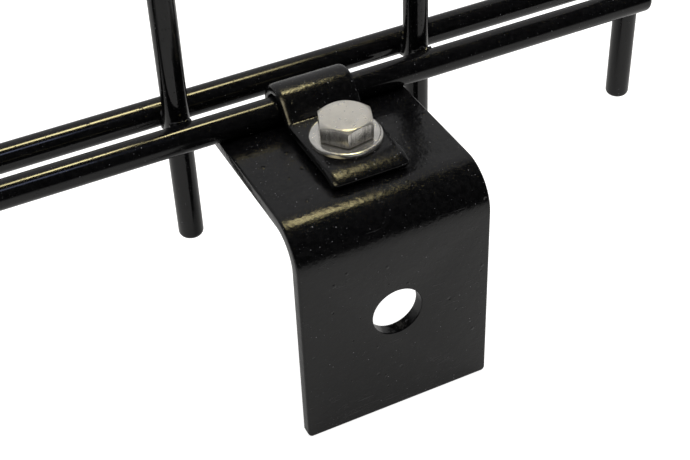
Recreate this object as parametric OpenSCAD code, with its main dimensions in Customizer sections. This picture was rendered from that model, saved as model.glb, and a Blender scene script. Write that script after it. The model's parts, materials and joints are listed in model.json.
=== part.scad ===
// Window security grille of welded double-rod mesh, with four clamp-on wall brackets.
// X runs along the rails, Y points from the wall to the grille, Z is up.
// The origin is the centre of the four wall fixing holes, on the plates' wall faces.

/* [Grille] */
// Number of uprights across the grille
upright_count = 7; // [7]
// Distance between the axes of neighbouring uprights
pitch = 52; // [50:0.5:60]
// Diameter of an upright, coating included
upright_d = 5.1; // [4:0.1:6]
// Diameter of a rail, coating included
rail_d = 5.6; // [5:0.1:6]
// Height between the lower and the upper pair of rails
rail_span = 200; // [180:5:400]
// Length of each upright's spike past the rail axis
spike_l = 27.3; // [20:0.1:40]
// Length of each rail past the axis of the last upright
rail_end_l = 1; // [1:0.1:10]
// Rounding of the cut ends of the rods
rod_end_r = 1.2; // [0.5:0.1:1.5]
// Radius of the weld flash where a rail crosses an upright
weld_r = 1.8; // [1.4:0.1:1.9]

/* [Wall bracket] */
// Width of the bracket along the rail
bracket_w = 40; // [36:1:42]
// Height of the plate that lies on the wall
plate_h = 50; // [46:1:70]
// Length of the leg that carries the front rail
leg_l = 40; // [39:0.5:40]
// Thickness of the bracket's sheet
bracket_t = 2.7; // [2:0.1:3]
// Radius inside the bend
bend_r = 6; // [4:0.5:7]
// Rounding of the sheet's corners
corner_r = 1; // [0.5:0.1:2]
// Distance from the wall to the axis of the front rail
standoff = 35; // [34:0.5:36]
// Diameter of the wall fixing hole
fixing_d = 10.5; // [6:0.5:12]

/* [Hook clamp] */
// Width of the clamp's strap
strap_w = 15.8; // [12:0.1:18]
// Thickness of the strap
strap_t = 2; // [1.5:0.1:2]
// Play between the rail and the inside of the hook
hook_play = 0.45; // [0.2:0.05:0.6]
// Lean of the hook's front wall away from upright
wall_lean = 38; // [30:1:40]
// Length of the hook's lip below the rail axis
lip_l = 2.3; // [1:0.1:2.5]
// Radius of the crease between front wall and tab
crease_r = 1; // [0.5:0.1:1.2]
// Height of the tab's underside above the leg
tab_gap = 1.25; // [1:0.05:1.5]
// Radius inside the heel that turns down to the leg
heel_r = 7; // [6:0.5:9]
// Distance from the rail axis to the start of the heel
heel_start = 21.2; // [20:0.1:21.5]

/* [Fasteners] */
// Distance from the rail axis to the bolt axis
bolt_reach = 15; // [14:0.1:15.5]
// Diameter of the bolt's shank
shank_d = 5.9; // [5.9]
// Diameter of the clearance holes in leg and clamp
clearance_d = 6.6; // [6.4:0.1:7]
// Length of the bolt under its head
bolt_l = 16; // [14:1:20]
// Width across the flats of head and nut
flats_w = 10; // [10]
// Height of the bolt head
head_h = 4; // [3.5:0.1:4.5]
// Height of the nut
nut_h = 5; // [4:0.1:5.5]
// Turn of the hexagons about their axis
hex_turn = 9.5; // [0:0.5:59.5]
// Diameter of the washer under the bolt head
head_washer_d = 14; // [12:0.5:14]
// Thickness of the washer under the bolt head
head_washer_t = 1; // [0.6:0.1:1.2]
// Diameter of the washer above the nut
nut_washer_d = 12; // [11:0.5:13]
// Thickness of the washer above the nut
nut_washer_t = 1.6; // [1:0.1:2]
// Diameter of the hole in both washers
washer_hole_d = 6.4; // [6.2:0.1:6.6]

/* [Hidden] */
$fn = 96;

// Gap that keeps parts that touch from sharing a surface
contact_gap = 0.05;
// Reach of cutting shapes past the stock they cut
cut = 1;

// Grille
grille_half_w = pitch * (upright_count - 1) / 2;
rail_z = rail_span / 2;
crossing = (rail_d + upright_d) / 2 + contact_gap;
upright_y = standoff + crossing;
rear_rail_y = upright_y + crossing;
// Each bracket sits in the second bay from its end of the grille
bracket_x = grille_half_w - 1.5 * pitch;

// Bracket, measured from the axis of the rail it carries
leg_top = -rail_d / 2 - contact_gap;
leg_bottom = leg_top - bracket_t;
leg_back = leg_l - standoff;
bend_outer_r = bend_r + bracket_t;
plate_bottom = leg_top - plate_h;
fixing_z = leg_top - plate_h / 2;

// Clamp, measured from the axis of the rail it holds
hook_r = rail_d / 2 + hook_play;
tab_top = leg_top + tab_gap + strap_t;
crease_z = tab_top + crease_r;
crease_y = (hook_r + strap_t + crease_r - crease_z * sin(wall_lean)) / cos(wall_lean);
heel_angle = acos(1 - (tab_gap - contact_gap) / heel_r);
// Straight steps that make up each arc of the clamp's outline
arc_steps = 24;

// Fasteners, measured from the axis of the rail
head_z = tab_top + head_washer_t;
nut_top = leg_bottom - nut_washer_t;
nut_bore_d = shank_d + 2 * contact_gap;
// Angle of the turned chamfer on head and nut, and the radius of the flat inside it
chamfer_angle = 30;
turned_r = 0.95 * flats_w / 2;
shank_chamfer = 0.6;

// A round rod along +Z from the origin, with rounded ends
module rod(d, l) {
    rotate_extrude() {
        square([d / 2 - rod_end_r, l]);
        translate([0, rod_end_r]) square([d / 2, l - 2 * rod_end_r]);
        for (z = [rod_end_r, l - rod_end_r])
            translate([d / 2 - rod_end_r, z]) intersection() {
                circle(rod_end_r);
                translate([0, -rod_end_r]) square([rod_end_r, 2 * rod_end_r]);
            }
    }
}

// A flat sector of a ring about the origin, from angle a0 to angle a1
module ring_sector(r_in, r_out, a0, a1) {
    reach = 2 * r_out;
    mid = (a0 + a1) / 2;
    intersection() {
        difference() {
            circle(r_out);
            circle(r_in);
        }
        polygon([[0, 0], for (a = [a0, mid, a1]) reach * [cos(a), sin(a)]]);
    }
}

// Extrudes a profile drawn in (Y, Z) along X, centred on X = 0
module across(w) {
    translate([-w / 2, 0, 0]) rotate([90, 0, 90]) linear_extrude(w) children();
}

// A rectangle with rounded corners, from corner a to corner b
module rounded_rectangle(a, b, r) {
    translate([a.x + r, a.y]) square([b.x - a.x - 2 * r, b.y - a.y]);
    translate([a.x, a.y + r]) square([b.x - a.x, b.y - a.y - 2 * r]);
    for (x = [a.x + r, b.x - r], y = [a.y + r, b.y - r])
        translate([x, y]) circle(r);
}

// A hexagonal prism along +Z from the origin, its corners turned off at the top
// and, when both is true, at the bottom as well
module hexagon(h, both) {
    cone_r = turned_r + h / tan(chamfer_angle);
    intersection() {
        rotate([0, 0, hex_turn]) cylinder(h = h, r = flats_w / 2 / cos(30), $fn = 6);
        cylinder(h = h, r1 = cone_r, r2 = turned_r);
        if (both) cylinder(h = h, r1 = turned_r, r2 = cone_r);
    }
}

// A plain washer along +Z from the origin
module washer(d, t) {
    difference() {
        cylinder(h = t, d = d);
        translate([0, 0, -cut]) cylinder(h = t + 2 * cut, d = washer_hole_d);
    }
}

// Carries a part from the axis of its rail to a corner of the grille:
// side is -1 for left and 1 for right, level is -1 for lower and 1 for upper
module at_corner(side, level) {
    translate([side * bracket_x, standoff, level * rail_z])
        rotate([0, level > 0 ? 180 : 0, 0]) children();
}

// Upright number i, counted from the left
module upright(i) {
    color("#101012")
        translate([(i - 1) * pitch - grille_half_w, upright_y, -rail_z - spike_l])
            rod(upright_d, rail_span + 2 * spike_l);
}

// A rail along X at the given depth and height
module rail(y, z) {
    l = 2 * (grille_half_w + rail_end_l);
    color("#101012")
        translate([-l / 2, y, z]) rotate([0, 90, 0]) rod(rail_d, l);
}

// The ring of weld flash between one rail and one upright;
// dir is 1 where the upright lies behind the rail and -1 where it lies in front
module weld(dir) {
    difference() {
        rotate([-90 * dir, 0, 0]) cylinder(h = crossing, r = weld_r);
        translate([-2 * weld_r, 0, 0]) rotate([0, 90, 0])
            cylinder(h = 4 * weld_r, d = rail_d);
        translate([0, dir * crossing, -2 * weld_r])
            cylinder(h = 4 * weld_r, d = upright_d);
    }
}

module cross_welds() {
    color("#1a1a1c")
        for (i = [0 : upright_count - 1], z = [-rail_z, rail_z])
            translate([i * pitch - grille_half_w, 0, z]) {
                translate([0, standoff, 0]) weld(1);
                translate([0, rear_rail_y, 0]) weld(-1);
            }
}

// Side view of the bracket: plate, bend and leg
module bracket_profile() {
    bend_y = bend_outer_r - standoff;
    bend_z = leg_top - bend_outer_r;
    translate([-standoff, plate_bottom])
        square([bracket_t, bend_z - plate_bottom]);
    translate([bend_y, bend_z]) ring_sector(bend_r, bend_outer_r, 90, 180);
    translate([bend_y, leg_bottom])
        square([leg_back - bend_y, bracket_t]);
}

module wall_bracket() {
    half_w = bracket_w / 2;
    color("#0e0e10")
        difference() {
            intersection() {
                across(bracket_w) bracket_profile();
                // Corners of the plate
                translate([0, leg_back + cut, 0]) rotate([90, 0, 0])
                    linear_extrude(standoff + leg_back + 2 * cut)
                        rounded_rectangle([-half_w, plate_bottom], [half_w, 0], corner_r);
                // Corners of the leg
                translate([0, 0, plate_bottom - cut])
                    linear_extrude(plate_h + rail_d)
                        rounded_rectangle([-half_w, -2 * standoff], [half_w, leg_back],
                                          corner_r);
            }
            translate([0, -standoff - cut, fixing_z]) rotate([-90, 0, 0])
                cylinder(h = bracket_t + 2 * cut, d = fixing_d);
            translate([0, -bolt_reach, leg_bottom - cut])
                cylinder(h = bracket_t + 2 * cut, d = clearance_d);
        }
}

// Points along an arc about centre c, from angle a0 to angle a1
function arc(c, r, a0, a1) =
    [for (i = [0 : arc_steps]) c + r * [cos(a0 + (a1 - a0) * i / arc_steps),
                                        sin(a0 + (a1 - a0) * i / arc_steps)]];

// Side view of one face of the clamp, from the lip over the hook, down the front wall
// and along the tab to the heel; depth is 0 for the inside and strap_t for the outside
function clamp_face(depth) = concat(
    [[hook_r + depth, -lip_l]],
    arc([0, 0], hook_r + depth, 0, 180 - wall_lean),
    arc([-crease_y, crease_z], crease_r + strap_t - depth, -wall_lean, -90),
    arc([-heel_start, tab_top - strap_t - heel_r], heel_r + depth, 90, 90 + heel_angle)
);

module clamp_profile() {
    inside = clamp_face(0);
    outside = clamp_face(strap_t);
    polygon(concat(outside, [for (i = [len(inside) - 1 : -1 : 0]) inside[i]]));
}

module hook_clamp() {
    color("#121214")
        difference() {
            across(strap_w) clamp_profile();
            translate([0, -bolt_reach, tab_top - strap_t - cut])
                cylinder(h = strap_t + 2 * cut, d = clearance_d);
        }
}

module head_washer() {
    color("silver")
        translate([0, -bolt_reach, tab_top]) washer(head_washer_d, head_washer_t);
}

module bolt() {
    color("silver")
        translate([0, -bolt_reach, head_z]) {
            hexagon(head_h, false);
            rotate_extrude()
                polygon([[0, -bolt_l], [shank_d / 2 - shank_chamfer, -bolt_l],
                         [shank_d / 2, -bolt_l + shank_chamfer],
                         [shank_d / 2, head_h / 2], [0, head_h / 2]]);
        }
}

module nut_washer() {
    color("silver")
        translate([0, -bolt_reach, nut_top]) washer(nut_washer_d, nut_washer_t);
}

module nut() {
    color("silver")
        translate([0, -bolt_reach, nut_top - nut_h])
            difference() {
                hexagon(nut_h, true);
                translate([0, 0, -cut]) cylinder(h = nut_h + 2 * cut, d = nut_bore_d);
            }
}

module upright_1() upright(1);
module upright_2() upright(2);
module upright_3() upright(3);
module upright_4() upright(4);
module upright_5() upright(5);
module upright_6() upright(6);
module upright_7() upright(7);

module lower_front_rail() rail(standoff, -rail_z);
module lower_rear_rail() rail(rear_rail_y, -rail_z);
module upper_front_rail() rail(standoff, rail_z);
module upper_rear_rail() rail(rear_rail_y, rail_z);

module lower_left_wall_bracket() at_corner(-1, -1) wall_bracket();
module lower_right_wall_bracket() at_corner(1, -1) wall_bracket();
module upper_left_wall_bracket() at_corner(-1, 1) wall_bracket();
module upper_right_wall_bracket() at_corner(1, 1) wall_bracket();

module lower_left_hook_clamp() at_corner(-1, -1) hook_clamp();
module lower_right_hook_clamp() at_corner(1, -1) hook_clamp();
module upper_left_hook_clamp() at_corner(-1, 1) hook_clamp();
module upper_right_hook_clamp() at_corner(1, 1) hook_clamp();

module lower_left_head_washer() at_corner(-1, -1) head_washer();
module lower_right_head_washer() at_corner(1, -1) head_washer();
module upper_left_head_washer() at_corner(-1, 1) head_washer();
module upper_right_head_washer() at_corner(1, 1) head_washer();

module lower_left_bolt() at_corner(-1, -1) bolt();
module lower_right_bolt() at_corner(1, -1) bolt();
module upper_left_bolt() at_corner(-1, 1) bolt();
module upper_right_bolt() at_corner(1, 1) bolt();

module lower_left_nut_washer() at_corner(-1, -1) nut_washer();
module lower_right_nut_washer() at_corner(1, -1) nut_washer();
module upper_left_nut_washer() at_corner(-1, 1) nut_washer();
module upper_right_nut_washer() at_corner(1, 1) nut_washer();

module lower_left_nut() at_corner(-1, -1) nut();
module lower_right_nut() at_corner(1, -1) nut();
module upper_left_nut() at_corner(-1, 1) nut();
module upper_right_nut() at_corner(1, 1) nut();

upright_1();
upright_2();
upright_3();
upright_4();
upright_5();
upright_6();
upright_7();
lower_front_rail();
lower_rear_rail();
upper_front_rail();
upper_rear_rail();
cross_welds();
lower_left_wall_bracket();
lower_right_wall_bracket();
upper_left_wall_bracket();
upper_right_wall_bracket();
lower_left_hook_clamp();
lower_right_hook_clamp();
upper_left_hook_clamp();
upper_right_hook_clamp();
lower_left_head_washer();
lower_right_head_washer();
upper_left_head_washer();
upper_right_head_washer();
lower_left_bolt();
lower_right_bolt();
upper_left_bolt();
upper_right_bolt();
lower_left_nut_washer();
lower_right_nut_washer();
upper_left_nut_washer();
upper_right_nut_washer();
lower_left_nut();
lower_right_nut();
upper_left_nut();
upper_right_nut();
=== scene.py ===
"""Looks of a welded window security grille with clamp-on wall brackets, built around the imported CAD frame.

The object's lengths are millimetres, turned into metres by MM where a mesh is made.
The floor, the lamps and the camera's distance are in metres.
X runs along the rails, Y points from the wall to the grille, Z is up.
"""

import json
import math

import bmesh
import bpy
from mathutils import Matrix, Vector, noise

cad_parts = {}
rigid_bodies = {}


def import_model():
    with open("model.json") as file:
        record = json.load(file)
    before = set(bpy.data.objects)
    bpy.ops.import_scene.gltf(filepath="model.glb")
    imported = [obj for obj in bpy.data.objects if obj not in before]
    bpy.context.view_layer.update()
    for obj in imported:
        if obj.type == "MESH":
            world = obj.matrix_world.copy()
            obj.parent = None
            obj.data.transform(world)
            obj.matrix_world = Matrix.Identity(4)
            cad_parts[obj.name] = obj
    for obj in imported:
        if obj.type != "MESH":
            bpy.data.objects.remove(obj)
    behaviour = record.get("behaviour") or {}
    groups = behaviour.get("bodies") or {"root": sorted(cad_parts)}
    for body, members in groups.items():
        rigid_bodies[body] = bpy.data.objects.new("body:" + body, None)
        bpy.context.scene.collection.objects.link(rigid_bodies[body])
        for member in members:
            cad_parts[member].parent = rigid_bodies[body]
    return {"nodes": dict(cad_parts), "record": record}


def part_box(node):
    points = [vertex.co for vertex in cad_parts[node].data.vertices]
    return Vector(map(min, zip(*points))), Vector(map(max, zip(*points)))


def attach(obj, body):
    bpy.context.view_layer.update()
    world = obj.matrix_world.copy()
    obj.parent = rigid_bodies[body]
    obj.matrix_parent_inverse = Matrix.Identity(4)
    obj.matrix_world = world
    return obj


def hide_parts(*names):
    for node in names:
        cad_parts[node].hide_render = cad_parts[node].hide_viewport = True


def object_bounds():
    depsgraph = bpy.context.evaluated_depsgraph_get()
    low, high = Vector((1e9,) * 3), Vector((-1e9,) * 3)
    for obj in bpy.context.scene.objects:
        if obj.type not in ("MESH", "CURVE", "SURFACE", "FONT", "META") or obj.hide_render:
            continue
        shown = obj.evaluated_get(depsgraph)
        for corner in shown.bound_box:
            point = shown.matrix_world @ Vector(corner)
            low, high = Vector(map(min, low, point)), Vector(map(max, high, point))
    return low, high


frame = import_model()
cad_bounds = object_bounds()

MM = 0.001
CORNERS = [(level, side) for level in ("lower", "upper") for side in ("left", "right")]


# ---------------------------------------------------------------- dimensions

# They come from the frame. What a box or a mount can't tell is a plain number.

def box_mm(node):
    """Lowest and highest corner of a CAD node, in millimetres."""
    low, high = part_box(node)
    return low / MM, high / MM


def centre_mm(node):
    low, high = box_mm(node)
    return (low + high) / 2


RAIL_LOW, RAIL_HIGH = box_mm("lower_front_rail")
RAIL_R = (RAIL_HIGH.z - RAIL_LOW.z) / 2
STANDOFF = centre_mm("lower_front_rail").y
RAIL_Z = centre_mm("upper_front_rail").z
REAR_Y = centre_mm("lower_rear_rail").y
UPRIGHT_LOW, UPRIGHT_HIGH = box_mm("upright_1")
UPRIGHT_R = (UPRIGHT_HIGH.x - UPRIGHT_LOW.x) / 2
UPRIGHT_Y = centre_mm("upright_1").y
UPRIGHTS = sorted(n for n in frame["nodes"] if n.startswith("upright_"))
CORNER_X = centre_mm("lower_right_bolt").x
BOLT_REACH = STANDOFF - centre_mm("lower_right_head_washer").y

# Bracket, measured from the axis of the rail it carries
BRACKET_LOW, BRACKET_HIGH = box_mm("lower_right_wall_bracket")
BRACKET_W = BRACKET_HIGH.x - BRACKET_LOW.x
LEG_TOP = BRACKET_HIGH.z + RAIL_Z
LEG_BACK = BRACKET_HIGH.y - STANDOFF
PLATE_BOTTOM = BRACKET_LOW.z + RAIL_Z
WALL_MOUNT = next(m for m in frame["record"]["mounts"] if m["kind"] == "bolt_pattern")
FIXING_R = WALL_MOUNT["dims"]["hole_r_mm"]
FIXING_Z = RAIL_Z - WALL_MOUNT["dims"]["spacing_y_mm"] / 2
BRACKET_T = LEG_TOP - (box_mm("lower_right_nut_washer")[1].z + RAIL_Z)
BEND_R = 6.0
CORNER_R = 1.0
SHEET_EDGE_R = 0.5
FIXING_RIM_R = 0.25
BOLT_HOLE_RIM_R = 0.2

# Clamp, measured from the axis of the rail it holds
CLAMP_LOW, CLAMP_HIGH = box_mm("lower_right_hook_clamp")
STRAP_W = CLAMP_HIGH.x - CLAMP_LOW.x
TAB_TOP = box_mm("lower_right_head_washer")[0].z + RAIL_Z
HOOK_OUTER_R = CLAMP_HIGH.z + RAIL_Z
STRAP_T = 2.0
WALL_LEAN = math.radians(38)
LIP_L = 2.3
CREASE_R = 1.0
HEEL_R = 7.0
HEEL_START = 21.2
CONTACT_GAP = 0.05
HEEL_DROP = TAB_TOP - STRAP_T - LEG_TOP - CONTACT_GAP
STRAP_EDGE_R = 0.45
# Width and depth of the rolled edge that stamping leaves on the strap's outer face
STRAP_ROLL = (1.4, 0.65)
STRAP_CORNER_R = 0.9

# Fasteners, measured from the bolt's axis
CLEARANCE_R = 3.3  # the bolt's hole in bracket and clamp
WASHER_HOLE_R = 3.2
FLATS_R = 5.0
TURNED_R = 4.75  # the flat end of a hexagon, inside its turned chamfer
CHAMFER = math.tan(math.radians(30))
HEX_TURN = math.radians(9.5)
HEX_CORNER_R = 0.28
HEX_EDGE = 0.1
SEAT_R = 4.6
SEAT_H = 0.25
SEAT_EDGE = 0.05
SEAT_FOOT = 0.04
CAP_R = 0.4
HEAD_MID_R = TURNED_R * 0.6
SHANK_R = 2.95
THREAD_PITCH = 1.0
THREAD_DEPTH = 0.55
THREAD_START = 1.2
TIP_CHAMFER = 0.6
NUT_BORE_R = 3.0
NUT_SINK = 0.45
SINK_ROUND = 0.03
SINK_SHOULDER = NUT_SINK * 0.7
# Width and depth of the rolled edge round a washer's upper face
WASHER_ROLL_W = 0.8
WASHER_ROLL_D = 0.3
WASHER_FOOT = 0.05
WASHER_HOLE_RIM_R = 0.15

# Steps that a round shape is drawn in
ROD_SEGMENTS = 64
ROD_END_STEPS = 8
HOLE_SEGMENTS = 72
RIM_STEPS = 5
WELD_SPOKES = 72
EDGE_STEPS = 5
END_STEPS = 5
BEND_STEPS = 32
HOOK_STEPS = 36
CREASE_STEPS = 10
HEEL_STEPS = 14
HEX_FLAT_STEPS = 12
THREAD_STEPS = 10
WASHER_SEGMENTS = 96
WASHER_ROLL_STEPS = 8
WASHER_HOLE_STEPS = 3


# ---------------------------------------------------------------- mesh tools

SHARP_ANGLE = 40


def new_object(name, bm, sharp_angle=SHARP_ANGLE):
    """An object from a bmesh in millimetres, smooth but for edges sharper than the angle."""
    bmesh.ops.recalc_face_normals(bm, faces=bm.faces)
    mesh = bpy.data.meshes.new(name)
    bm.to_mesh(mesh)
    bm.free()
    mesh.transform(Matrix.Scale(MM, 4))
    mesh.shade_smooth()
    mesh.set_sharp_from_angle(angle=math.radians(sharp_angle))
    obj = bpy.data.objects.new(name, mesh)
    bpy.context.scene.collection.objects.link(obj)
    return obj


def skin(rings, closed=False, bm=None):
    """Joins rings of equally many points into a tube. Open tubes get a cap at each end."""
    bm = bm or bmesh.new()
    loops = [[bm.verts.new(p) for p in ring] for ring in rings]
    count = len(loops[0])
    pairs = list(zip(loops, loops[1:] + loops[:1])) if closed else list(zip(loops, loops[1:]))
    for a, b in pairs:
        for i in range(count):
            j = (i + 1) % count
            bm.faces.new((a[i], a[j], b[j], b[i]))
    if not closed:
        bm.faces.new(loops[0])
        bm.faces.new(loops[-1])
    return bm


def circle_ring(r, z, segments=ROD_SEGMENTS):
    """Points of a level circle about the Z axis."""
    angles = [2 * math.pi * i / segments for i in range(segments)]
    return [Vector((r * math.cos(a), r * math.sin(a), z)) for a in angles]


def arc_points(r, start, end, steps):
    """(cos, sin) points of an arc, angles in degrees."""
    angles = [math.radians(start + (end - start) * i / steps) for i in range(steps + 1)]
    return [(r * math.cos(a), r * math.sin(a)) for a in angles]


def place(bm, matrix):
    bmesh.ops.transform(bm, matrix=matrix, verts=bm.verts)
    return bm


def corner_matrix(level, side):
    """Carries a part from the axis of its rail to a corner of the grille."""
    x = CORNER_X if side == "right" else -CORNER_X
    z = RAIL_Z if level == "upper" else -RAIL_Z
    turn = math.pi if level == "upper" else 0
    return Matrix.Translation((x, STANDOFF, z)) @ Matrix.Rotation(turn, 4, "Y")


# ---------------------------------------------------------------- rods and welds

ROD_END_R = 1.2
ROD_STATIONS = 40


def rod(r, length):
    """A round rod along +Z with rounded ends."""
    ends = [(r - ROD_END_R + x, ROD_END_R + z)
            for x, z in arc_points(ROD_END_R, -90, 0, ROD_END_STEPS)]
    middle = [(r, ROD_END_R + (length - 2 * ROD_END_R) * i / ROD_STATIONS)
              for i in range(1, ROD_STATIONS)]
    top = [(x, length - z) for x, z in reversed(ends)]
    return skin([circle_ring(x, z) for x, z in ends + middle + top])


def upright(node):
    low, high = box_mm(node)
    bm = place(rod((high.x - low.x) / 2, high.z - low.z),
               Matrix.Translation((centre_mm(node).x, centre_mm(node).y, low.z)))
    return new_object(node + "_rod", bm)


def rail(node):
    low, high = box_mm(node)
    centre = centre_mm(node)
    turn = Matrix.Rotation(math.pi / 2, 4, "Y")
    bm = place(rod((high.z - low.z) / 2, high.x - low.x),
               Matrix.Translation((low.x, centre.y, centre.z)) @ turn)
    return new_object(node + "_rod", bm)


WELD_R = 2.25
WELD_CORE_R = 0.5
WELD_BULGE = 0.5
WELD_DEPTH = 0.08
WELD_SHARP_ANGLE = 80
# Outline of the flash from the rail's surface to the upright's.
# Each point is a share of the radius, a share of the bulge, and a side.
WELD_SECTION = [
    (0, 0, 0), (0.5, 0, 0), (1, 0, 0), (1, 0.55, 0.08), (1, 0.9, 0.28), (1, 1, 0.5),
    (1, 0.9, 0.72), (1, 0.55, 0.92), (1, 0, 1), (0.5, 0, 1), (0, 0, 1),
]
# Unevenness of the bead: its size, its lumps per turn and its seed in the noise
REACH_LUMPS, REACH_PACE, REACH_SEED = 0.14, 1.8, 3.1
BULGE_MEAN, BULGE_LUMPS, BULGE_PACE, BULGE_SEED = 0.7, 1.6, 4.2, 7.7


def weld(bm, x, rail_y, z, direction):
    """Flash squeezed out where a rail crosses an upright: a lumpy bead round the contact."""
    def lumps(angle, pace, seed):
        return noise.noise(Vector((math.cos(angle) * pace + x, math.sin(angle) * pace + seed,
                                   z + rail_y)))

    def point(angle, radius_share, bulge_share, side):
        """side 0 lies in the rail's surface and side 1 in the upright's."""
        reach = WELD_R * (1 + REACH_LUMPS * lumps(angle, REACH_PACE, REACH_SEED))
        r = WELD_CORE_R + (reach - WELD_CORE_R) * radius_share
        dx, dz = r * math.cos(angle), r * math.sin(angle)
        on_rail = math.sqrt(RAIL_R ** 2 - dz ** 2) - WELD_DEPTH
        on_upright = abs(UPRIGHT_Y - rail_y) - math.sqrt(UPRIGHT_R ** 2 - dx ** 2) + WELD_DEPTH
        y = on_rail + (on_upright - on_rail) * side
        unevenness = BULGE_MEAN + BULGE_LUMPS * lumps(angle, BULGE_PACE, BULGE_SEED + side)
        out = bulge_share * WELD_BULGE * unevenness
        dx += out * math.cos(angle)
        dz += out * math.sin(angle)
        return Vector((x + dx, rail_y + direction * y, z + dz))

    angles = [2 * math.pi * i / WELD_SPOKES for i in range(WELD_SPOKES)]
    skin([[point(a, *share) for a in angles] for share in WELD_SECTION], bm=bm)


def cross_welds():
    bm = bmesh.new()
    for node in UPRIGHTS:
        for z in (-RAIL_Z, RAIL_Z):
            weld(bm, centre_mm(node).x, STANDOFF, z, 1)
            weld(bm, centre_mm(node).x, REAR_Y, z, -1)
    return new_object("cross_welds_flash", bm, WELD_SHARP_ANGLE)


# ---------------------------------------------------------------- bent sheet parts

FIT = 0.98  # largest share of a half side that an edge's rounding takes


def rounded_section(half_w, half_t, edge_r, roll):
    """Points of a sheet's section: round edges on the inner face, rolled ones on the outer face.

    The first axis goes across the sheet and the second through it. roll is an edge's width and depth.
    """
    roll_w = min(roll[0], half_w * FIT)
    roll_d = min(roll[1], half_t * FIT)
    inner_r = min(edge_r, half_t * FIT, half_w * FIT)
    points = []
    for start, side, face in ((0, 1, 1), (90, -1, 1), (180, -1, -1), (270, 1, -1)):
        across, through = (roll_w, roll_d) if face > 0 else (inner_r, inner_r)
        for x, t in arc_points(1.0, start, start + 90, EDGE_STEPS):
            points.append((side * (half_w - across) + across * x,
                           face * (half_t - through) + through * t))
    return points


def inset_near_end(distance, r):
    """How far a rounded corner of radius r stands in from the side, at a distance from the end."""
    if distance >= r:
        return 0.0
    return r - math.sqrt(max(r ** 2 - (r - distance) ** 2, 0))


def bent_strip(path, width, thickness, edge_r, corner_r, roll=None):
    """Sweeps a sheet's section along a path of (y, z, normal angle) stations."""
    lengths = [0.0]
    for (y0, z0, _), (y1, z1, _) in zip(path, path[1:]):
        lengths.append(lengths[-1] + math.hypot(y1 - y0, z1 - z0))
    total = lengths[-1]
    rings = []
    for (y, z, angle), s in zip(path, lengths):
        d = min(s, total - s)
        half_w = width / 2 - max(inset_near_end(d, corner_r), inset_near_end(d, edge_r))
        half_t = thickness / 2 - inset_near_end(d, edge_r)
        ring = [Vector((x, y + t * math.cos(angle), z + t * math.sin(angle)))
                for x, t in rounded_section(half_w, half_t, edge_r, roll or (edge_r, edge_r))]
        rings.append(ring)
    return skin(rings)


def straight(start, end, angle, stations):
    """Stations of a straight stretch, both ends included."""
    return [(start[0] + (end[0] - start[0]) * f, start[1] + (end[1] - start[1]) * f, angle)
            for f in stations]


def end_fractions(length, edge_r, corner_r, at_start):
    """Fractions of a straight stretch, dense within its rounded end."""
    near = [edge_r * (1 - math.cos(math.pi / 2 * i / END_STEPS)) for i in range(END_STEPS + 1)]
    near += [edge_r + (corner_r - edge_r) * i / END_STEPS for i in range(1, END_STEPS + 1)]
    fractions = [d / length for d in near] + [0.5]
    if at_start:
        return fractions + [1.0]
    return [0.0] + [1 - f for f in reversed(fractions)]


def arc_path(centre, r, start, end, steps, outward):
    """Stations along an arc, without its ends. outward is 1 if the outer face is the far one."""
    stations = []
    for i in range(1, steps):
        a = math.radians(start + (end - start) * i / steps)
        normal = a if outward > 0 else a + math.pi
        stations.append((centre[0] + r * math.cos(a), centre[1] + r * math.sin(a), normal))
    return stations


def bracket_path():
    """Middle of the bracket's sheet, from the back of the leg over the bend to the plate's foot."""
    half = BRACKET_T / 2
    mid_r = BEND_R + half
    centre = (BEND_R + BRACKET_T - STANDOFF, LEG_TOP - BRACKET_T - BEND_R)
    leg_z = LEG_TOP - half
    plate_y = half - STANDOFF
    leg_l = LEG_BACK - centre[0]
    plate_l = centre[1] - PLATE_BOTTOM
    leg = straight((LEG_BACK, leg_z), (centre[0], leg_z), math.pi / 2,
                   end_fractions(leg_l, SHEET_EDGE_R, CORNER_R, True))
    plate = straight((plate_y, centre[1]), (plate_y, PLATE_BOTTOM), math.pi,
                     end_fractions(plate_l, SHEET_EDGE_R, CORNER_R, False))
    return leg + arc_path(centre, mid_r, 90, 180, BEND_STEPS, 1) + plate


HEEL_END = (0.22, 0.12, 0.05, 0.015, 0.0)  # distances of the heel's last stations from its end


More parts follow.
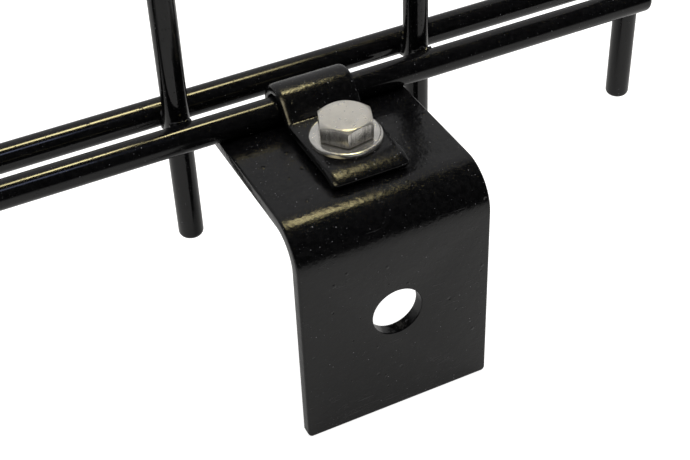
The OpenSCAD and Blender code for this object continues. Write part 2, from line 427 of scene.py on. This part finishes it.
def clamp_path():
    """Middle of the clamp's strap: lip, hook, front wall, crease, tab and heel."""
    half = STRAP_T / 2
    mid_r = HOOK_OUTER_R - half
    lean = WALL_LEAN
    crease_z = TAB_TOP + CREASE_R
    crease_y = (HOOK_OUTER_R + CREASE_R - crease_z * math.sin(lean)) / math.cos(lean)
    heel_turn = math.degrees(math.acos(1 - HEEL_DROP / HEEL_R))
    tangent = 180 - math.degrees(lean)
    tangent_rad = math.radians(tangent)
    heel_centre = (-HEEL_START, TAB_TOP - STRAP_T - HEEL_R)
    crease_mid_r = CREASE_R + half
    wall_top = (mid_r * math.cos(tangent_rad), mid_r * math.sin(tangent_rad))
    wall_foot = (-crease_y + crease_mid_r * math.cos(-lean),
                 crease_z + crease_mid_r * math.sin(-lean))
    lip = straight((mid_r, -LIP_L), (mid_r, 0), 0,
                   end_fractions(LIP_L, STRAP_EDGE_R, STRAP_CORNER_R, True))
    hook = arc_path((0, 0), mid_r, 0, tangent, HOOK_STEPS, 1)
    wall = straight(wall_top, wall_foot, tangent_rad, (0, 1))
    crease = arc_path((-crease_y, crease_z), crease_mid_r, -math.degrees(lean), -90, CREASE_STEPS, -1)
    tab_z = TAB_TOP - half
    tab = straight((-crease_y, tab_z), (-HEEL_START, tab_z), math.pi / 2, (0, 0.5, 1))
    heel_mid_r = HEEL_R + half
    heel_l = heel_mid_r * math.radians(heel_turn)
    fractions = [i / HEEL_STEPS for i in range(1, HEEL_STEPS)] + [1 - d / heel_l for d in HEEL_END]
    heel = []
    for f in fractions:
        a = math.radians(90 + heel_turn * f)
        heel.append((heel_centre[0] + heel_mid_r * math.cos(a),
                     heel_centre[1] + heel_mid_r * math.sin(a), a))
    return lip + hook + wall + crease + tab + heel


CUTTER_REACH = 1.0


def punch(obj, centre, axis, r, thickness, edge_r):
    """Cuts a round hole with softened rims. centre is the middle of the wall, axis goes through it."""
    half = thickness / 2
    curve = [(edge_r - x, z - edge_r) for x, z in arc_points(edge_r, 0, 90, RIM_STEPS)]
    upper = [(r + x, half + z) for x, z in curve]
    profile = [(r + edge_r, -half - CUTTER_REACH)] + [(x, -z) for x, z in reversed(upper)]
    profile += upper + [(r + edge_r, half + CUTTER_REACH)]
    bm = skin([circle_ring(x, z, HOLE_SEGMENTS) for x, z in profile])
    place(bm, Matrix.Translation(centre) @ Vector(axis).to_track_quat("Z", "Y").to_matrix().to_4x4())
    cutter = new_object("cutter", bm)
    cut = obj.modifiers.new("cut", "BOOLEAN")
    cut.operation = "DIFFERENCE"
    cut.solver = "EXACT"
    cut.object = cutter
    bpy.context.view_layer.objects.active = obj
    bpy.ops.object.modifier_apply(modifier=cut.name)
    bpy.data.objects.remove(cutter)
    obj.data.shade_smooth()
    obj.data.set_sharp_from_angle(angle=math.radians(SHARP_ANGLE))


def wall_bracket():
    """The bracket in its own place, with the rail's axis as origin."""
    bm = bent_strip(bracket_path(), BRACKET_W, BRACKET_T, SHEET_EDGE_R, CORNER_R)
    obj = new_object("wall_bracket", bm)
    punch(obj, (0, BRACKET_T / 2 - STANDOFF, FIXING_Z), (0, 1, 0), FIXING_R, BRACKET_T, FIXING_RIM_R)
    punch(obj, (0, -BOLT_REACH, LEG_TOP - BRACKET_T / 2), (0, 0, 1), CLEARANCE_R, BRACKET_T,
          BOLT_HOLE_RIM_R)
    return obj


def hook_clamp():
    bm = bent_strip(clamp_path(), STRAP_W, STRAP_T, STRAP_EDGE_R, STRAP_CORNER_R, STRAP_ROLL)
    obj = new_object("hook_clamp", bm)
    punch(obj, (0, -BOLT_REACH, TAB_TOP - STRAP_T / 2), (0, 0, 1), CLEARANCE_R, STRAP_T,
          BOLT_HOLE_RIM_R)
    return obj


# ---------------------------------------------------------------- fasteners

def hex_directions():
    """(angle, radius) pairs round a hexagon with softly rounded corners."""
    corner_centre = (FLATS_R - HEX_CORNER_R) / math.cos(math.pi / 6)
    tangent = math.atan2(HEX_CORNER_R * 0.5, corner_centre + HEX_CORNER_R * math.cos(math.pi / 6))
    pairs = []
    for side in range(6):
        flat = HEX_TURN + math.radians(30 + 60 * side)
        for f in (0, 1 / 3, 2 / 3):
            pairs.append((flat - math.pi / 6 + tangent * f, True))
        reach = math.pi / 6 - tangent
        for i in range(HEX_FLAT_STEPS + 1):
            pairs.append((flat - reach + 2 * reach * i / HEX_FLAT_STEPS, False))
        for f in (2 / 3, 1 / 3):
            pairs.append((flat + math.pi / 6 - tangent * f, True))
    result = []
    for angle, rounded in pairs:
        off_flat = (angle - HEX_TURN) % (math.pi / 3) - math.pi / 6
        if rounded:
            off_corner = math.pi / 6 - abs(off_flat)
            r = corner_centre * math.cos(off_corner) + math.sqrt(
                HEX_CORNER_R ** 2 - (corner_centre * math.sin(off_corner)) ** 2)
        else:
            r = FLATS_R / math.cos(off_flat)
        result.append((angle, r))
    return result


HEX = hex_directions()


def hex_ring(z_of, r_of):
    """A ring whose height and radius follow the hexagon's own radius."""
    return [Vector((r_of(r) * math.cos(a), r_of(r) * math.sin(a), z_of(r))) for a, r in HEX]


def round_ring(r, z):
    """A circle with as many points as the hexagon."""
    return hex_ring(lambda _: z, lambda _: r)


# Where the middle ring that rounds a hexagon's edge lies, and where the last one lies on the chamfer
ROUND_DROP = 0.35 * HEX_EDGE
ROUND_INSET = 0.12 * HEX_EDGE
CHAMFER_INSET = 0.6 * HEX_EDGE


def hex_end(z, up):
    """Rings from the side of a hexagon, over the turned chamfer, to the flat at height z."""
    def edge(r):
        return z - up * max(r - TURNED_R, 0) * CHAMFER

    return [
        hex_ring(lambda r: edge(r) - up * HEX_EDGE, lambda r: r),
        hex_ring(lambda r: edge(r) - up * ROUND_DROP, lambda r: r - ROUND_INSET),
        hex_ring(lambda r: edge(r - CHAMFER_INSET), lambda r: r - CHAMFER_INSET),
        hex_ring(lambda r: z - up * HEX_EDGE * CHAMFER, lambda r: TURNED_R + HEX_EDGE),
        hex_ring(lambda r: z, lambda r: TURNED_R - HEX_EDGE),
    ]


ROOT_WIDENING = 1.15  # above 1, the thread's root becomes a flat
TIP_FADE = 0.8 * THREAD_PITCH


def thread_ring(z, top, bottom):
    """A ring of a right-hand thread, fading out at both ends."""
    fade = min(1.0, (top - z) / THREAD_PITCH, (z - bottom) / TIP_FADE)
    ring = []
    for a, _ in HEX:
        phase = (z / THREAD_PITCH - a / (2 * math.pi)) % 1.0
        flank = min(1.0, abs(phase - 0.5) * 2 * ROOT_WIDENING)
        r = SHANK_R - THREAD_DEPTH * flank * max(fade, 0.0)
        if z - bottom < TIP_CHAMFER:
            r = min(r, SHANK_R - TIP_CHAMFER + (z - bottom))
        ring.append(Vector((r * math.cos(a), r * math.sin(a), z)))
    return ring


def bolt():
    """Hex bolt with its head's underside at the origin and its shank along -Z."""
    low, high = box_mm("lower_right_bolt")
    head_z = box_mm("lower_right_head_washer")[1].z
    head_h = high.z - head_z
    length = head_z - low.z
    rings = [round_ring(CAP_R, head_h), round_ring(HEAD_MID_R, head_h)]
    rings += reversed(hex_end(head_h, 1))
    rings += [
        hex_ring(lambda _: SEAT_H + HEX_EDGE, lambda r: r),
        hex_ring(lambda _: SEAT_H, lambda r: r - HEX_EDGE),
        round_ring(SEAT_R + SEAT_EDGE, SEAT_H),
        round_ring(SEAT_R, SEAT_H - SEAT_EDGE),
        round_ring(SEAT_R, SEAT_FOOT),
        round_ring(SEAT_R - SEAT_FOOT, 0),
        round_ring(SHANK_R, 0),
        round_ring(SHANK_R, -THREAD_START + SEAT_EDGE),
    ]
    steps = int((length - THREAD_START) / THREAD_PITCH * THREAD_STEPS)
    for i in range(steps + 1):
        z = -THREAD_START - (length - THREAD_START) * i / steps
        rings.append(thread_ring(z, -THREAD_START, -length))
    rings.append(round_ring(CAP_R, -length))
    return skin(rings)


def nut():
    """Hex nut with its upper face at the origin."""
    low, high = box_mm("lower_right_nut")
    h = high.z - low.z
    rings = list(reversed(hex_end(0, 1)))
    rings += hex_end(-h, -1)
    rings += [
        round_ring(NUT_BORE_R + NUT_SINK, -h),
        round_ring(NUT_BORE_R + SINK_ROUND, -h + SINK_SHOULDER),
        round_ring(NUT_BORE_R, -h + NUT_SINK),
        round_ring(NUT_BORE_R, -NUT_SINK),
        round_ring(NUT_BORE_R + SINK_ROUND, -SINK_SHOULDER),
        round_ring(NUT_BORE_R + NUT_SINK, 0),
    ]
    return skin(rings, closed=True)


def washer(outer_r, thickness):
    """Punched washer on the origin plane: rolled upper rim, crisp lower rim."""
    top = [(outer_r - WASHER_ROLL_W * (1 - x), thickness - WASHER_ROLL_D * (1 - z))
           for x, z in arc_points(1.0, 0, 90, WASHER_ROLL_STEPS)]
    hole_rim = reversed(arc_points(WASHER_HOLE_RIM_R, 0, 90, WASHER_HOLE_STEPS))
    hole = [(WASHER_HOLE_R + WASHER_HOLE_RIM_R - x, thickness - WASHER_HOLE_RIM_R + z)
            for x, z in hole_rim]
    profile = [(outer_r - WASHER_FOOT, 0), (outer_r, WASHER_FOOT)] + top
    profile += [((outer_r + WASHER_HOLE_R) / 2, thickness)] + hole
    profile += [(WASHER_HOLE_R, WASHER_FOOT), (WASHER_HOLE_R + WASHER_FOOT, 0)]
    return skin([circle_ring(r, z, WASHER_SEGMENTS) for r, z in profile], closed=True)


# ---------------------------------------------------------------- materials

class Nodes:
    """Short calls for building one node tree, of a material or a world."""

    def __init__(self, owner, output_kind):
        owner.use_nodes = True
        self.tree = owner.node_tree
        self.tree.nodes.clear()
        self.output = self.add(output_kind)
        place_of = self.add("ShaderNodeTexCoord")
        self.coords = place_of.outputs["Object"]
        self.normals = place_of.outputs["Normal"]
        self.directions = place_of.outputs["Generated"]

    def add(self, kind, **values):
        node = self.tree.nodes.new(kind)
        for key, value in values.items():
            setattr(node, key, value)
        return node

    def link(self, a, b):
        self.tree.links.new(a, b)

    def set(self, socket, value):
        if isinstance(value, bpy.types.NodeSocket):
            self.link(value, socket)
        else:
            socket.default_value = value

    def scaled(self, scale, turn=(0, 0, 0), shift=(0, 0, 0)):
        """Object coordinates times scale, in features per metre."""
        node = self.add("ShaderNodeMapping")
        self.link(self.coords, node.inputs["Vector"])
        node.inputs["Scale"].default_value = scale
        node.inputs["Rotation"].default_value = turn
        node.inputs["Location"].default_value = shift
        return node.outputs["Vector"]

    def noise(self, scale, detail=2.0, rough=0.5, vector=None, distortion=0.0):
        """Noise between 0 and 1, with scale features per metre."""
        node = self.add("ShaderNodeTexNoise")
        self.link(vector or self.coords, node.inputs["Vector"])
        node.inputs["Scale"].default_value = scale
        node.inputs["Detail"].default_value = detail
        node.inputs["Roughness"].default_value = rough
        node.inputs["Distortion"].default_value = distortion
        return node.outputs["Fac"]

    def cells(self, scale, vector):
        """Distance to the nearest cell point, in cells, and the cell's random colour."""
        node = self.add("ShaderNodeTexVoronoi")
        self.link(vector, node.inputs["Vector"])
        node.inputs["Scale"].default_value = scale
        return node.outputs["Distance"], node.outputs["Color"]

    def channel(self, source, name):
        """One channel of a colour (Red, Green, Blue) or of a vector (X, Y, Z)."""
        split = self.add("ShaderNodeSeparateXYZ" if name in "XYZ" else "ShaderNodeSeparateColor")
        self.link(source, split.inputs[0])
        return split.outputs[name]

    def remap(self, value, low, high, to_low=0.0, to_high=1.0, smooth=True):
        """Carries the range low to high to another one, and holds the value beyond its ends."""
        node = self.add("ShaderNodeMapRange")
        node.interpolation_type = "SMOOTHSTEP" if smooth else "LINEAR"
        self.link(value, node.inputs["Value"])
        for key, number in zip(("From Min", "From Max", "To Min", "To Max"),
                               (low, high, to_low, to_high)):
            node.inputs[key].default_value = number
        return node.outputs["Result"]

    def math(self, operation, a, b=0.0):
        node = self.add("ShaderNodeMath", operation=operation)
        self.set(node.inputs[0], a)
        self.set(node.inputs[1], b)
        return node.outputs["Value"]

    def mix(self, factor, a, b):
        """Colour mix."""
        node = self.add("ShaderNodeMix", data_type="RGBA")
        self.set(node.inputs["Factor"], factor)
        self.set(node.inputs["A"], a)
        self.set(node.inputs["B"], b)
        return node.outputs["Result"]

    def camera_ray(self):
        """1 for what the camera sees directly, 0 in reflections and for light."""
        return self.add("ShaderNodeLightPath").outputs["Is Camera Ray"]

    def choose(self, factor, a, b):
        """Shader mix, sent to the output."""
        node = self.add("ShaderNodeMixShader")
        self.link(factor, node.inputs["Fac"])
        self.link(a, node.inputs[1])
        self.link(b, node.inputs[2])
        self.link(node.outputs["Shader"], self.output.inputs["Surface"])

    def bump(self, height, distance, below=None):
        """Normals of a relief whose heights run from 0 to the distance, in metres."""
        node = self.add("ShaderNodeBump")
        node.inputs["Distance"].default_value = distance
        self.link(height, node.inputs["Height"])
        if below is not None:
            self.link(below, node.inputs["Normal"])
        return node.outputs["Normal"]


class Surface(Nodes):
    """A material with one principled shader."""

    def __init__(self, name):
        self.material = bpy.data.materials.new(name)
        super().__init__(self.material, "ShaderNodeOutputMaterial")
        self.shader = self.add("ShaderNodeBsdfPrincipled")
        self.link(self.shader.outputs["BSDF"], self.output.inputs["Surface"])


# Noise scales are features per metre; heights of relief are metres.
COAT_IOR = 1.45
COAT_BLACK = (0.0012, 0.0012, 0.0015, 1)
COAT_SHADE = (0.0042, 0.0042, 0.0046, 1)
COAT_WORN = (0.030, 0.030, 0.031, 1)
DUST = (0.21, 0.21, 0.225, 1)
PEEL_H = 0.00005
GRAIN_H = 0.000018
SPARKLE_H = 0.00003
NIB_H = 0.0001
WEAR_H = 0.000006
WORN_ROUGHNESS = 0.3
DRAWN_H = 0.000012


def dots(n, per_metre, share, small, large, shift=0.0):
    """Scattered round dots, radii in millimetres: 1 in a dot's middle, and each dot's own random value."""
    distance, colour = n.cells(per_metre, n.scaled((1, 1, 1), shift=(shift, shift, shift)))
    cell = MM * per_metre
    radius = n.remap(n.channel(colour, "Blue"), 0.0, 1.0, small * cell, large * cell, smooth=False)
    inside = n.math("SUBTRACT", 1.0, n.remap(n.math("DIVIDE", distance, radius), 0.3, 1.0))
    picked = n.math("GREATER_THAN", n.channel(colour, "Red"), 1 - share)
    return n.math("MULTIPLY", inside, picked), n.channel(colour, "Green")


def dust_film(n, amount):
    """Sparse specks of dust, and finer ones that lie in clouds."""
    speck, light = dots(n, 1200, 0.24 * amount, 0.07, 0.16, shift=0.2)
    coarse = n.math("MULTIPLY", speck, n.remap(light, 0.0, 1.0, 0.1, 1.0))
    grit, light = dots(n, 2300, 0.45, 0.05, 0.11, shift=0.9)
    cloud = n.remap(n.noise(150, 2.0, 0.6), 0.46, 0.64, 0.0, min(0.55 * amount, 1.0))
    fine = n.math("MULTIPLY", n.math("MULTIPLY", grit, light), cloud)
    return n.math("MAXIMUM", coarse, fine)


def wear(n):
    """Short fine scratches along the rails' direction and clouded rubs, on faces square to the wall."""
    lines = n.noise(1.0, 1.0, 0.5, n.scaled((150, 3000, 2600), turn=(0.0, 0.12, 0.0)), 0.4)
    patch = n.remap(n.noise(75, 2.0, 0.5), 0.52, 0.60)
    scratches = n.math("MULTIPLY", n.remap(lines, 0.64, 0.72), patch)
    cloud = n.remap(n.noise(1.0, 4.0, 0.75, n.scaled((190, 420, 420)), 0.8), 0.53, 0.72)
    rubbed = n.remap(n.noise(52, 1.0, 0.5, n.scaled((1, 1, 1), shift=(0.31, 0.12, 0.07))), 0.48, 0.62)
    rubs = n.math("MULTIPLY", n.math("MULTIPLY", cloud, rubbed), 0.7)
    facing = n.math("ABSOLUTE", n.channel(n.normals, "Y"))
    return n.math("MULTIPLY", n.math("MAXIMUM", scratches, rubs), n.remap(facing, 0.80, 0.98))


def powder_coat(name, gloss, peel, grain=1.0, sparkles=1.0, nibs=1.0, dust=1.0, scuffs=1.0):
    """Gloss black powder coat: orange peel, fine grain, nibs and craters, dust and wear.

    gloss is the roughness, and the other numbers scale their feature.
    """
    n = Surface(name)
    nib, nib_side = dots(n, 380, 0.55, 0.20, 0.55)
    nib_height = n.math("MULTIPLY", nib, n.remap(nib_side, 0.40, 0.41, -1.0, 1.0))
    sparkle, _ = dots(n, 1700, min(0.4 * sparkles, 1.0), 0.08, 0.16, shift=0.5)
    worn = n.math("MULTIPLY", wear(n), scuffs)
    shade = n.mix(n.remap(n.noise(1100, 3.0, 0.7), 0.35, 0.65), COAT_BLACK, COAT_SHADE)
    n.set(n.shader.inputs["Base Color"],
          n.mix(dust_film(n, dust), n.mix(worn, shade, COAT_WORN), DUST))
    sheen = n.remap(n.noise(60, 3.0, 0.55), 0.3, 0.7, gloss - 0.03, gloss + 0.04)
    n.set(n.shader.inputs["Roughness"], n.math("ADD", sheen, n.math("MULTIPLY", worn, WORN_ROUGHNESS)))
    n.shader.inputs["IOR"].default_value = COAT_IOR
    level = n.bump(n.noise(420, 2.0, 0.5), PEEL_H * peel)
    level = n.bump(n.noise(1300, 2.0, 0.6), GRAIN_H * grain, below=level)
    level = n.bump(sparkle, SPARKLE_H * sparkles, below=level)
    level = n.bump(nib_height, NIB_H * nibs, below=level)
    level = n.bump(worn, WEAR_H, below=level)
    n.link(level, n.shader.inputs["Normal"])
    return n.material


def stainless(name, tint, side, drawn, metallic, face=0.30):
    """Satin stainless steel: a blasted end face and smoother sides with drawn lines along the axis.

    face and side are the roughness there, and drawn scales the lines.
    """
    n = Surface(name)
    upward = n.remap(n.math("ABSOLUTE", n.channel(n.normals, "Z")), 0.3, 0.9)
    sideways = n.math("SUBTRACT", 1.0, upward)
    lines = n.noise(1.0, 2.0, 0.6, n.scaled((2600, 2600, 130)))
    mottle = n.noise(900, 3.0, 0.6)
    stain = n.remap(n.noise(260, 3.0, 0.6), 0.35, 0.7)
    bright, dark, lined = (tuple(c * share for c in tint) + (1,) for share in (1.0, 0.86, 0.62))
    streaks = n.math("MULTIPLY", n.remap(lines, 0.46, 0.62), sideways)
    n.set(n.shader.inputs["Base Color"],
          n.mix(n.math("MULTIPLY", streaks, min(drawn, 1.0)), n.mix(stain, bright, dark), lined))
    n.shader.inputs["Metallic"].default_value = metallic
    rough = n.math("ADD", n.remap(upward, 0.0, 1.0, side, face), n.remap(mottle, 0.3, 0.7, -0.03, 0.04))
    n.set(n.shader.inputs["Roughness"], rough)
    height = n.math("MULTIPLY", lines, sideways)
    n.link(n.bump(height, DRAWN_H * drawn), n.shader.inputs["Normal"])
    return n.material


MATERIALS = {
    "grille_coat": powder_coat("grille_powder_coat", gloss=0.14, peel=0.1, grain=0.3, sparkles=1.6,
                               nibs=0.2, scuffs=0.0),
    "weld_coat": powder_coat("weld_powder_coat", gloss=0.14, peel=3.5, nibs=2.2, scuffs=0.0),
    "bracket_coat": powder_coat("bracket_powder_coat", gloss=0.175, peel=1.5, grain=2.2, dust=1.3),
    "clamp_coat": powder_coat("clamp_powder_coat", gloss=0.20, peel=1.2, grain=2.4, dust=4.0, scuffs=0.0),
    "bolt_steel": stainless("bolt_stainless", (0.80, 0.77, 0.715), side=0.20, drawn=3.0, metallic=0.84),
    "washer_steel": stainless("washer_stainless", (0.86, 0.84, 0.80), side=0.16, drawn=0.3, metallic=0.9,
                              face=0.22),
}
SLOT_OF = {s["node"]: s["material_slot"] for s in frame["record"]["subparts"]}


def finish_piece(obj, node, body):
    """Gives a piece its material and lets it stand for its CAD node."""
    slot = SLOT_OF[node]
    obj.data.materials.clear()
    obj.data.materials.append(MATERIALS[slot])
    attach(obj, body)
    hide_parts(node)


# ---------------------------------------------------------------- the object

for node in UPRIGHTS:
    finish_piece(upright(node), node, "grille")
for node in sorted(n for n in frame["nodes"] if n.endswith("_rail")):
    finish_piece(rail(node), node, "grille")
finish_piece(cross_welds(), "cross_welds", "grille")


FASTENER_SHARP_ANGLE = 35


def on_bolt_axis(name, bm, height):
    """A fastener on the bolt's axis, at a height above the rail's axis."""
    return new_object(name, place(bm, Matrix.Translation((0, -BOLT_REACH, height))),
                      FASTENER_SHARP_ANGLE)


def washer_in_place(part):
    low, high = box_mm("lower_right_" + part)
    return on_bolt_axis(part, washer((high.x - low.x) / 2, high.z - low.z), low.z + RAIL_Z)


HEAD_Z = box_mm("lower_right_head_washer")[1].z + RAIL_Z
NUT_TOP = box_mm("lower_right_nut")[1].z + RAIL_Z
PATTERNS = [
    (wall_bracket(), "wall_bracket", "bracket"),
    (hook_clamp(), "hook_clamp", "clamp"),
    (washer_in_place("head_washer"), "head_washer", "clamp"),
    (on_bolt_axis("bolt", bolt(), HEAD_Z), "bolt", "screw"),
    (washer_in_place("nut_washer"), "nut_washer", "bracket"),
    (on_bolt_axis("nut", nut(), NUT_TOP), "nut", "bracket"),
]
for pattern, part, group in PATTERNS:
    for level, side in CORNERS:
        corner = f"{level}_{side}"
        mesh = pattern.data.copy()
        to_corner = corner_matrix(level, side)
        to_corner.translation *= MM
        mesh.transform(to_corner)
        piece = bpy.data.objects.new(f"{corner}_{part}_piece", mesh)
        bpy.context.scene.collection.objects.link(piece)
        finish_piece(piece, f"{corner}_{part}", f"{corner}_{group}")
    bpy.data.objects.remove(pattern)


# ---------------------------------------------------------------- stage, light and camera

# Edges of the floor, in metres, and the line behind which it is fully lit; in front of that line the floor's
# colour carries painted shade, darkening towards the front edge
FLOOR_FRONT, FLOOR_LIT, FLOOR_FAR = -0.30, -0.05, 4.0
FLOOR_TONES = (0.44, 0.44, 0.44, 1), (0.46, 0.46, 0.46, 1)
FLOOR_GLOW_SEEN = 0.86
FLOOR_GLOW_REFLECTED = 0.12


def floor():
    """A white table top that ends a short way in front of the grille, with painted shade darkening its
    colour towards that edge, and doesn't hide it from below.
    """
    z = cad_bounds[0][2]
    corners = [(-FLOOR_FAR, FLOOR_FRONT, z), (FLOOR_FAR, FLOOR_FRONT, z),
               (FLOOR_FAR, FLOOR_FAR, z), (-FLOOR_FAR, FLOOR_FAR, z)]
    mesh = bpy.data.meshes.new("floor")
    mesh.from_pydata(corners, [], [(0, 1, 2, 3)])
    obj = bpy.data.objects.new("floor", mesh)
    bpy.context.scene.collection.objects.link(obj)
    n = Surface("floor_paper")
    paper = n.mix(n.noise(3.0), *FLOOR_TONES)
    # Painted shade: the floor's colour fades towards black from the fully lit line to the front edge, which
    # also darkens the floor where the coat reflects it
    painted_shade_fade = n.remap(n.channel(n.coords, "Y"), FLOOR_FRONT, FLOOR_LIT, 0.1, 1.0)
    n.set(n.shader.inputs["Base Color"], n.mix(painted_shade_fade, (0, 0, 0, 1), paper))
    n.shader.inputs["Roughness"].default_value = 0.9
    n.shader.inputs["Specular IOR Level"].default_value = 0.0
    n.shader.inputs["Emission Color"].default_value = (1, 1, 1, 1)
    glow = n.remap(n.camera_ray(), 0.0, 1.0, FLOOR_GLOW_REFLECTED, FLOOR_GLOW_SEEN, smooth=False)
    n.set(n.shader.inputs["Emission Strength"], glow)
    n.choose(n.add("ShaderNodeNewGeometry").outputs["Backfacing"], n.shader.outputs["BSDF"],
             n.add("ShaderNodeBsdfTransparent").outputs["BSDF"])
    mesh.materials.append(n.material)


def area_light(name, location, target, size, power, colour, spread=180, glossy=True, diffuse=True):
    """A rectangular lamp with its first side along X."""
    light = bpy.data.lights.new(name, "AREA")
    light.spread = math.radians(spread)
    light.shape = "RECTANGLE"
    light.size, light.size_y = size
    light.energy = power
    light.color = colour
    obj = bpy.data.objects.new(name, light)
    away = (Vector(location) - Vector(target)).normalized()
    along = (Vector((1, 0, 0)) - away * away.x).normalized()
    turn = Matrix((along, away.cross(along), away)).transposed().to_4x4()
    obj.matrix_world = Matrix.Translation(location) @ turn
    obj.visible_camera = False
    obj.visible_glossy = glossy
    obj.visible_diffuse = diffuse
    bpy.context.scene.collection.objects.link(obj)
    return obj


def light_only(lamp, ending):
    """Lets a lamp light only the pieces whose names end so."""
    group = bpy.data.collections.new(lamp.name + "_lights")
    for obj in sorted(bpy.data.objects, key=lambda o: o.name):
        if obj.name.endswith(ending):
            group.objects.link(obj)
    lamp.light_linking.receiver_collection = group


SHEET_SIDE = (0.0, 0.974, -0.225)  # points into the half of the surroundings that the sheet fills
SHEET_GLOW = 0.56
ROOM_GLOW = 0.03


def world():
    """White for the camera; for reflections, a white sheet behind and a dark room in front."""
    sky = bpy.data.worlds.new("studio")
    bpy.context.scene.world = sky
    n = Nodes(sky, "ShaderNodeOutputWorld")
    seen = n.add("ShaderNodeBackground")
    seen.inputs["Color"].default_value = (1, 1, 1, 1)
    reflected = n.add("ShaderNodeBackground")
    towards = n.add("ShaderNodeVectorMath", operation="DOT_PRODUCT")
    n.link(n.directions, towards.inputs[0])
    towards.inputs[1].default_value = SHEET_SIDE
    glow = n.remap(towards.outputs["Value"], -0.03, 0.10, ROOM_GLOW, SHEET_GLOW)
    n.link(glow, reflected.inputs["Strength"])
    n.choose(n.camera_ray(), reflected.outputs["Background"], seen.outputs["Background"])


# Where the camera looks from, in degrees, and how far it stands off, in metres
AZIMUTH, ELEVATION, ROLL = -24.93, 39.38, -2.50
DISTANCE = 0.2504
# The point it aims at, from the lower right bracket's middle on the rail's axis
AIM_LEFT, AIM_DOWN = 10.34, 3.65
LENS, SENSOR_WIDTH = 73.9, 36.0
CLIP_START = 0.01


def camera():
    """Camera aimed beside the lower right bracket."""
    azimuth, elevation = math.radians(AZIMUTH), math.radians(ELEVATION)
    aim = Vector(((CORNER_X - AIM_LEFT) * MM, 0.0, (-RAIL_Z - AIM_DOWN) * MM))
    forward = Vector((-math.sin(azimuth) * math.cos(elevation),
                      math.cos(azimuth) * math.cos(elevation), -math.sin(elevation)))
    data = bpy.data.cameras.new("camera")
    data.sensor_width = SENSOR_WIDTH
    data.lens = LENS
    data.clip_start = CLIP_START
    obj = bpy.data.objects.new("camera", data)
    level = forward.to_track_quat("-Z", "Y").to_matrix().to_4x4()
    turn = level @ Matrix.Rotation(math.radians(ROLL), 4, "Z")
    obj.matrix_world = Matrix.Translation(aim - forward * DISTANCE) @ turn
    bpy.context.scene.collection.objects.link(obj)
    bpy.context.scene.camera = obj


WARM = (1.0, 0.87, 0.46)
CREAM = (1.0, 0.89, 0.58)
COOL = (0.58, 0.67, 1.0)
NEUTRAL = (1.0, 0.985, 0.96)
BOTTOM_Z = -RAIL_Z * MM
floor()
world()
camera()
# A warm strip lamp over the lower rails: its narrow beam shows in the coat but stays off the floor
area_light("strip_lamp", location=(-0.235, 0.185, 1.0 + BOTTOM_Z), target=(-0.43, 0.04, BOTTOM_Z),
           size=(1.23, 0.21), power=0.37, colour=WARM, spread=20, diffuse=False)
# A wide soft box that lights the floor but isn't mirrored in the coat
area_light("soft_box", location=(0.2, 0.1, 1.6), target=(0, 0, -0.1),
           size=(2.4, 2.4), power=60.0, colour=NEUTRAL, glossy=False)
# A lamp ahead on the left, which shows where the clamps' edges roll over to that side
edge_lamp = area_light("edge_lamp", location=(-0.53, -0.32, 0.48), target=(0.07, 0.02, BOTTOM_Z),
                       size=(0.8, 0.8), power=1.5, colour=CREAM, spread=60, diffuse=False)
light_only(edge_lamp, "hook_clamp_piece")
# A small cool lamp close to the rails, which glints in their grain left of the bracket
cool_glint = area_light("cool_glint", location=(0.07, -0.131, 0.355 + BOTTOM_Z),
                        target=(0.02, 0.035, BOTTOM_Z), size=(0.06, 0.06), power=0.035, colour=COOL)
light_only(cool_glint, "rail_rod")

bpy.context.scene.view_settings.view_transform = "Standard"
